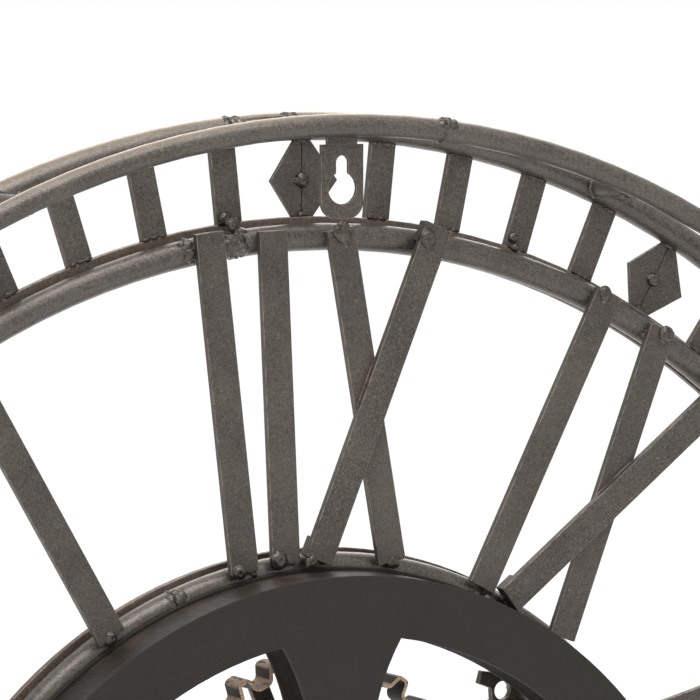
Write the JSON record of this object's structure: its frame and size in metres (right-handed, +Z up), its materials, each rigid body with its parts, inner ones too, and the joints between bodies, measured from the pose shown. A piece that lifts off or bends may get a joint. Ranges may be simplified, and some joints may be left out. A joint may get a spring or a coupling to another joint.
{
  "type": "wall clock",
  "caption": "Large openwork metal wall clock: round tube rings, welded flat-bar Roman numerals, open centre disc with layered decorative gears, two hands, quartz movement and keyhole hanger",
  "frame": {"origin": "centre of the bounding box, on the clock's axis, halfway between the wall side of the rear ring and the front of the hand nut", "axes": "+Z up towards 12 o'clock, +Y into the wall along the clock's axis, +X towards 3 o'clock as seen from the front"},
  "size_m": [0.8, 0.062, 0.8],
  "materials": {
    "ring_metal": "satin",
    "spacer_metal": "satin",
    "strip_metal": "satin",
    "minute_metal": "satin",
    "diamond_metal": "satin",
    "numeral_metal": "satin",
    "hanger_metal": "satin",
    "disc_metal": "matte",
    "edge_metal": "satin",
    "gear_metal": "satin",
    "plate_gear_metal": "satin",
    "post_metal": "satin",
    "gear_nut_metal": "satin",
    "case_plastic": "matte",
    "knob_plastic": "matte",
    "wheel_plastic": "satin",
    "brass": "satin",
    "hand_metal": "satin",
    "stator_metal": "satin",
    "winding_copper": "satin",
    "board_green": "satin",
    "battery_jacket": "satin",
    "contact_metal": "satin"
  },
  "bodies": {
    "frame": {"battery": "battery_jacket", "battery_contacts": "contact_metal", "bush_nut": "brass", "bush_washer": "brass", "circuit_board": "board_green", "coil": "winding_copper", "disc_back_plate": "disc_metal", "disc_front_plate": "disc_metal", "disc_rim_band": "edge_metal", "disc_window_bands": "edge_metal", "gear_nuts": "gear_nut_metal", "gear_posts": "post_metal", "hanger_plate": "hanger_metal", "hour_diamonds": "diamond_metal", "inner_ring_strip": "strip_metal", "inner_ring_tube": "ring_metal", "middle_ring_strip": "strip_metal", "middle_ring_tube": "ring_metal", "minute_bars": "minute_metal", "movement_back_case": "case_plastic", "movement_front_case": "case_plastic", "movement_middle_plate": "case_plastic", "numeral_01": "numeral_metal", "numeral_02": "numeral_metal", "numeral_03": "numeral_metal", "numeral_04": "numeral_metal", "numeral_05": "numeral_metal", "numeral_06": "numeral_metal", "numeral_07": "numeral_metal", "numeral_08": "numeral_metal", "numeral_09": "numeral_metal", "numeral_10": "numeral_metal", "numeral_11": "numeral_metal", "numeral_12": "numeral_metal", "outer_ring_back": "ring_metal", "outer_ring_front": "ring_metal", "plate_gear_left": "plate_gear_metal", "plate_gear_lower": "plate_gear_metal", "plate_gear_rim": "plate_gear_metal", "ring_spacers": "spacer_metal", "stator": "stator_metal", "strip_gear_large_rim": "gear_metal", "strip_gear_large_spider": "gear_metal", "strip_gear_medium_rim": "gear_metal", "strip_gear_medium_spider": "gear_metal", "strip_gear_small_rim": "gear_metal", "strip_gear_small_spider": "gear_metal", "threaded_bush": "brass"},
    "minute": {"minute_arbor": "brass", "minute_hand": "hand_metal", "hand_nut": "brass"},
    "hour": {"hour_wheel": "wheel_plastic", "hour_hand": "hand_metal"},
    "motion": {"motion_wheel": "wheel_plastic"},
    "setting": {"setting_knob": "knob_plastic"},
    "third": {"third_wheel": "wheel_plastic"},
    "second": {"second_wheel": "wheel_plastic"},
    "step": {"step_wheel": "wheel_plastic"},
    "rotor": {"rotor": "wheel_plastic"}
  },
  "joints": [
    {"name": "minute_turn", "type": "hinge", "parent": "frame", "child": "minute", "pos_m": [0, 0.01, 0], "axis": [0, 1, 0], "continuous": true},
    {"name": "hour_turn", "type": "hinge", "parent": "frame", "child": "hour", "pos_m": [0, 0.01, 0], "axis": [0, 1, 0], "continuous": true},
    {"name": "motion_turn", "type": "hinge", "parent": "frame", "child": "motion", "pos_m": [-0.00694, 0.01, 0.00827], "axis": [0, 1, 0], "continuous": true},
    {"name": "setting_turn", "type": "hinge", "parent": "frame", "child": "setting", "pos_m": [-0.01842, 0.01, 0.01057], "axis": [0, 1, 0], "continuous": true},
    {"name": "third_turn", "type": "hinge", "parent": "frame", "child": "third", "pos_m": [0.0091, 0.01, 0.00536], "axis": [0, 1, 0], "continuous": true},
    {"name": "second_turn", "type": "hinge", "parent": "frame", "child": "second", "pos_m": [0.00382, 0.01, 0.0145], "axis": [0, 1, 0], "continuous": true},
    {"name": "step_turn", "type": "hinge", "parent": "frame", "child": "step", "pos_m": [-0.00372, 0.01, 0.0182], "axis": [0, 1, 0], "continuous": true},
    {"name": "rotor_turn", "type": "hinge", "parent": "frame", "child": "rotor", "pos_m": [-0.01059, 0.01, 0.02037], "axis": [0, 1, 0], "continuous": true}
  ],
  "couplings": [
    {"joint": "hour_turn", "follows": "minute_turn", "ratio": 0.083333},
    {"joint": "motion_turn", "follows": "minute_turn", "ratio": -0.33333},
    {"joint": "setting_turn", "follows": "minute_turn", "ratio": 0.75},
    {"joint": "third_turn", "follows": "minute_turn", "ratio": -6},
    {"joint": "second_turn", "follows": "minute_turn", "ratio": 60},
    {"joint": "step_turn", "follows": "minute_turn", "ratio": -360},
    {"joint": "rotor_turn", "follows": "minute_turn", "ratio": 1800}
  ]
}
